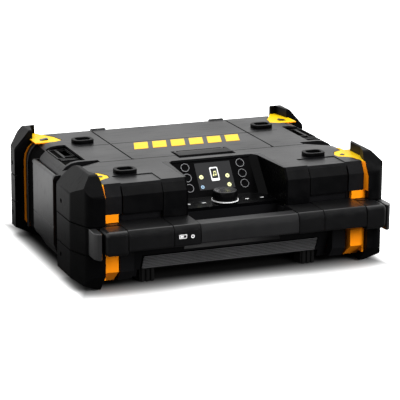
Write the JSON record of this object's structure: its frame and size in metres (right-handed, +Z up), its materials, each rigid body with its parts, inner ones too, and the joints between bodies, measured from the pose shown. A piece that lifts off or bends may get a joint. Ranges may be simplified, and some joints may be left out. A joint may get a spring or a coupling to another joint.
{
  "type": "jobsite radio",
  "caption": "Low stackable jobsite radio with a bumper bar across the front, a sunken panel with display, knob and buttons, a lidded compartment and moulded corner guards.",
  "frame": {"origin": "centre of the bounding box's bottom, on the ground under the feet", "axes": "+X to the right along the width, +Y to the back, +Z up"},
  "size_m": [0.462, 0.376, 0.1615],
  "materials": {
    "housing_plastic": "moulded texture",
    "guard_plastic": "fine moulded texture",
    "panel_plastic": "satin",
    "yellow_plastic": "satin",
    "black_rubber": "matt",
    "button_plastic": "satin",
    "knob_plastic": "satin",
    "grille_plastic": "satin",
    "lens_plastic": "glossy",
    "screw_steel": "dark zinc",
    "pin_steel": "drawn",
    "beam_aluminium": "extruded",
    "display_glass": "display module",
    "board_laminate": "coated board",
    "speaker_steel": "black",
    "supply_steel": "plated"
  },
  "bodies": {
    "housing": {"lower_shell": "housing_plastic", "top_shell": "housing_plastic", "compartment_tub": "housing_plastic", "latch_strike": "housing_plastic", "side_catch_right": "housing_plastic", "side_catch_left": "housing_plastic", "stacking_pegs": "housing_plastic", "feet": "black_rubber", "lid_seal": "black_rubber", "control_housing": "housing_plastic", "display_lens": "lens_plastic", "lcd_module": "display_glass", "control_boards": "board_laminate", "knob_ring": "knob_plastic", "rotary_encoder": "supply_steel", "pod_inner_cover_right": "panel_plastic", "pod_inner_cover_left": "panel_plastic", "pod_outer_cover_right": "panel_plastic", "pod_outer_cover_left": "panel_plastic", "bumper_beam": "beam_aluminium", "bar_grip": "guard_plastic", "bar_cover_inner_right": "guard_plastic", "bar_cover_inner_left": "guard_plastic", "bar_cover_outer_right": "guard_plastic", "bar_cover_outer_left": "guard_plastic", "bar_end_right": "guard_plastic", "bar_end_left": "guard_plastic", "guard_front_right": "guard_plastic", "guard_front_left": "guard_plastic", "guard_rear_right": "guard_plastic", "guard_rear_left": "guard_plastic", "guard_screws": "screw_steel", "deck_screws": "screw_steel", "corner_band_front_right": "yellow_plastic", "corner_band_front_left": "yellow_plastic", "corner_band_rear_right": "yellow_plastic", "corner_band_rear_left": "yellow_plastic", "front_grille": "grille_plastic", "woofers": "speaker_steel", "tweeters": "speaker_steel", "main_board": "board_laminate", "power_supply": "supply_steel", "power_inlet": "panel_plastic", "lid_hinge_pins": "pin_steel", "latch_hinge_pins": "pin_steel"},
    "lid": {"compartment_lid": "housing_plastic"},
    "lid_latch": {"lid_latch": "housing_plastic"},
    "side_latch_right": {"side_latch_right": "housing_plastic"},
    "side_latch_left": {"side_latch_left": "housing_plastic"},
    "knob": {"knob": "knob_plastic"},
    "button_left_1": {"button_left_1": "button_plastic"},
    "button_left_2": {"button_left_2": "button_plastic"},
    "button_left_3": {"button_left_3": "button_plastic"},
    "button_right_1": {"button_right_1": "button_plastic"},
    "button_right_2": {"button_right_2": "button_plastic"},
    "button_right_3": {"button_right_3": "button_plastic"},
    "key_left_inner": {"key_left_inner": "button_plastic"},
    "key_left_outer": {"key_left_outer": "button_plastic"},
    "key_right_inner": {"key_right_inner": "button_plastic"},
    "key_right_outer": {"key_right_outer": "button_plastic"}
  },
  "joints": [
    {"name": "lid_hinge", "type": "hinge", "parent": "housing", "child": "lid", "pos_m": [0, 0.1735, 0.146], "axis": [-1, 0, 0], "range_deg": [0, 100]},
    {"name": "lid_latch_hinge", "type": "hinge", "parent": "lid", "child": "lid_latch", "pos_m": [0, 0.004, 0.1478], "axis": [-1, 0, 0], "range_deg": [0, 75]},
    {"name": "side_latch_right_hinge", "type": "hinge", "parent": "housing", "child": "side_latch_right", "pos_m": [0.2168, 0.0455, 0.129], "axis": [0, -1, 0], "range_deg": [0, 70]},
    {"name": "side_latch_left_hinge", "type": "hinge", "parent": "housing", "child": "side_latch_left", "pos_m": [-0.2168, 0.0455, 0.129], "axis": [0, 1, 0], "range_deg": [0, 70]},
    {"name": "knob_turn", "type": "hinge", "parent": "housing", "child": "knob", "pos_m": [0, -0.0952, 0.10178], "axis": [0, 0, 1], "continuous": true},
    {"name": "button_left_1_press", "type": "slide", "parent": "housing", "child": "button_left_1", "axis": [0, 0.8044, -0.594], "range_m": [0, 0.001], "stiffness_N_per_m": 1500},
    {"name": "button_left_2_press", "type": "slide", "parent": "housing", "child": "button_left_2", "axis": [0, 0.8044, -0.594], "range_m": [0, 0.001], "stiffness_N_per_m": 1500},
    {"name": "button_left_3_press", "type": "slide", "parent": "housing", "child": "button_left_3", "axis": [0, 0.8044, -0.594], "range_m": [0, 0.001], "stiffness_N_per_m": 1500},
    {"name": "button_right_1_press", "type": "slide", "parent": "housing", "child": "button_right_1", "axis": [0, 0.8044, -0.594], "range_m": [0, 0.001], "stiffness_N_per_m": 1500},
    {"name": "button_right_2_press", "type": "slide", "parent": "housing", "child": "button_right_2", "axis": [0, 0.8044, -0.594], "range_m": [0, 0.001], "stiffness_N_per_m": 1500},
    {"name": "button_right_3_press", "type": "slide", "parent": "housing", "child": "button_right_3", "axis": [0, 0.8044, -0.594], "range_m": [0, 0.001], "stiffness_N_per_m": 1500},
    {"name": "key_left_inner_press", "type": "slide", "parent": "housing", "child": "key_left_inner", "axis": [0, 0.0795, -0.9968], "range_m": [0, 0.0008], "stiffness_N_per_m": 1500},
    {"name": "key_left_outer_press", "type": "slide", "parent": "housing", "child": "key_left_outer", "axis": [0, 0.0795, -0.9968], "range_m": [0, 0.0008], "stiffness_N_per_m": 1500},
    {"name": "key_right_inner_press", "type": "slide", "parent": "housing", "child": "key_right_inner", "axis": [0, 0.0795, -0.9968], "range_m": [0, 0.0008], "stiffness_N_per_m": 1500},
    {"name": "key_right_outer_press", "type": "slide", "parent": "housing", "child": "key_right_outer", "axis": [0, 0.0795, -0.9968], "range_m": [0, 0.0008], "stiffness_N_per_m": 1500}
  ]
}
